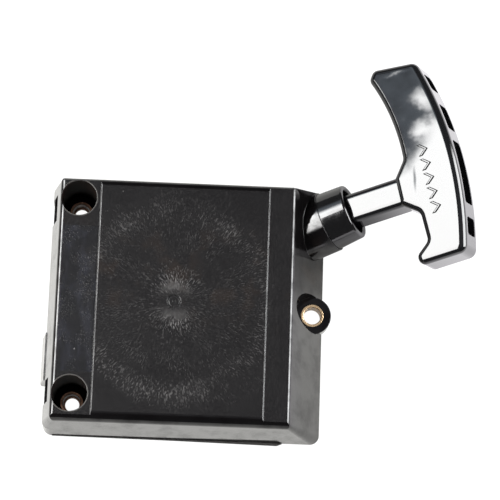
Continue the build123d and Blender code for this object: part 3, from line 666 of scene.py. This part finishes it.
def dress():
    """Gives every CAD node the material of its slot, apart from the brass parts, which have one each."""
    materials = {
        "housing_plastic": housing_plastic(), "collar_plastic": collar_plastic(),
        "grip_plastic": grip_plastic(), "nylon": nylon(), "bearing_plastic": bearing_plastic(),
        "zinc_steel": zinc_steel(), "spring_steel": spring_steel(),
        "rope": rope_material("rope", braided=False)}
    own = {
        "sleeve_right": brass("brass_bright", "sleeve_right", *CLEAN_BRASS),
        "sleeve_upper_left": brass("brass_upper", "sleeve_upper_left", *TARNISHED_BRASS),
        "sleeve_lower_left": brass("brass_lower", "sleeve_lower_left", *TARNISHED_BRASS),
        "post_insert": brass("brass_insert", "post_insert", *CLEAN_BRASS)}
    for part in frame["record"]["subparts"]:
        slots = frame["nodes"][part["node"]].data.materials
        material = own.get(part["node"]) or materials[part["material_slot"]]
        if not len(slots):
            slots.append(material)
        for index in range(len(slots)):
            slots[index] = material


# ---------------------------------------------------------------- studio

FLOOR_SIZE = 6.0
FLOOR_DROP = 0.2 * MM           # keeps the floor clear of the mounting face
WHITE = (1.0, 1.0, 1.0)
WARM_GLOW, COOL_GLOW = (1.0, 0.99, 0.955), (0.985, 0.965, 1.0)
# sine of the elevation, and brightness of the room there: darkest high up, with a dim ceiling
ROOM = ((0.0, 0.11), (0.7, 0.04), (0.88, 0.05), (0.96, 0.30))

CAMERA_AIM = Vector((36.50, 31.62, 20.0)) * MM
CAMERA_DISTANCE = 1.06093
CAMERA_TURNS = ((-7.957, "Z"), (13.309, "X"), (10.097, "Z"))   # round, tilt and roll in degrees
CAMERA_LENS, CAMERA_SENSOR = 154.0, 36.0


def rectangle(name, width, height):
    """A flat object centred on its origin, facing +z."""
    w, h = width / 2, height / 2
    mesh = bpy.data.meshes.new(name)
    mesh.from_pydata([(-w, -h, 0), (w, -h, 0), (w, h, 0), (-w, h, 0)], [], [(0, 1, 2, 3)])
    return add_object(name, mesh)


def panel(name, azimuth, elevation, distance, width, height, radiance, tint, soft_sides=0.2, soft_ends=0.2):
    """A light panel that faces the object: bright in the middle, fading over its outer, soft shares.
    It adds to what lies behind it, and shows only in reflections and shading."""
    az, el = math.radians(azimuth), math.radians(elevation)
    place = Vector((math.cos(el) * math.cos(az), math.cos(el) * math.sin(az), math.sin(el))) * distance
    light = rectangle(name, width, height)
    light.location = place
    light.rotation_mode = "QUATERNION"
    light.rotation_quaternion = place.to_track_quat("Z", "Y")
    light.visible_camera = False
    light.visible_shadow = False
    g = new_material(name)
    across, up, _ = g.split(g.add("TexCoord").outputs["Object"])
    falls = [g.step(g.abs(offset), half, half * (1 - soft))
             for offset, half, soft in ((across, width / 2, soft_sides), (up, height / 2, soft_ends))]
    glow = g.together(g.clear(), g.emission(tint, g.times(*falls, radiance)))
    light.data.materials.append(g.finish(g.two_sided(g.clear(), glow)))


def floor():
    """A pale table, lit from below, that can be looked through from underneath."""
    table = rectangle("table", FLOOR_SIZE, FLOOR_SIZE)
    table.location = (0, 0, -FLOOR_DROP)
    g = new_material("table")
    vector, x, y, z = g.place()
    paper = g.mix(g.noise(vector, 30.0, detail=3.0), (0.050, 0.050, 0.050), (0.056, 0.056, 0.055))
    # what mirrors the table sees painted shadows on it: dimmer close to the object, dimmest in the painted shadow
    # under the outlet and off the lower right corner; it is warm on one side and cool on the other
    low, high = (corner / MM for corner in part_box("housing"))
    # painted shadow: dimmer beside the housing's right side
    glow = g.blend(g.step(x, high.x, high.x + 90.0), 0.95, 2.2)
    glow = g.blend(g.step(x, low.x + 6.0, low.x - 2.0), glow, 1.2)
    shade = g.step(g.distance(x, y, centre_of("outlet_collar") / MM), 54.0, 18.0)
    glow = g.times(glow, g.blend(shade, 1.0, 0.28))
    # painted shadow off the lower right corner of the housing
    corner = g.step(g.distance(x, y, Vector((high.x + 24.0, low.y - 26.0))), 32.0, 14.0)
    glow = g.times(glow, g.blend(corner, 1.0, 0.3))
    tint = g.mix(g.step(x, high.x, high.x + 20.0), WARM_GLOW, COOL_GLOW)
    seen = g.seen()
    lit = g.emission(g.mix(seen, tint, WHITE), g.blend(seen, glow, 1.0))
    top = g.together(lit, g.add("BsdfDiffuse", {0: paper}).outputs[0])
    table.data.materials.append(g.finish(g.two_sided(top, g.clear())))


def surroundings():
    """White to the camera, and a dim room to everything that mirrors it."""
    world = bpy.data.worlds.new("studio")
    bpy.context.scene.world = world
    g = Graph(world)
    ramp = g.add("ValToRGB", {0: g.split(g.add("TexCoord").outputs["Generated"])[2]})
    stops = ramp.color_ramp.elements
    stops[0].position, stops[1].position = ROOM[0][0], ROOM[-1][0]
    for height, _ in ROOM[1:-1]:
        stops.new(height)
    for stop, (_, level) in zip(stops, ROOM):
        stop.color = (level, level, level * 1.06, 1)
    room = g.add("Background", {0: ramp.outputs[0]}).outputs[0]
    white = g.add("Background", {0: WHITE}).outputs[0]
    g.add("OutputWorld", {0: g.either(g.seen(), room, white)})


def camera():
    """Nearly straight down on the front, from a little below it."""
    data = bpy.data.cameras.new("camera")
    data.sensor_width, data.lens = CAMERA_SENSOR, CAMERA_LENS
    data.clip_start, data.clip_end = 0.01, 20.0
    view = add_object("camera", data)
    turn = Matrix.Identity(4)
    for degrees, axis in CAMERA_TURNS:
        turn = turn @ Matrix.Rotation(math.radians(degrees), 4, axis)
    view.matrix_world = Matrix.Translation(CAMERA_AIM) @ turn @ Matrix.Translation((0, 0, CAMERA_DISTANCE))
    bpy.context.scene.camera = view


def studio():
    panel("left_panel", azimuth=184, elevation=47.5, distance=0.95, width=1.24, height=0.55, radiance=23.0,
          tint=(1.0, 0.995, 0.985), soft_sides=0.45)
    panel("right_panel", azimuth=10, elevation=30, distance=0.95, width=0.92, height=0.74, radiance=19.0,
          tint=(0.985, 0.992, 1.0))
    panel("back_glow", azimuth=137, elevation=45, distance=1.15, width=1.10, height=0.80, radiance=2.0,
          tint=(0.76, 0.87, 1.0), soft_sides=0.7, soft_ends=0.7)
    floor()
    surroundings()
    camera()
    bpy.context.scene.view_settings.view_transform = "Standard"


dress()
free_rope()
studio()
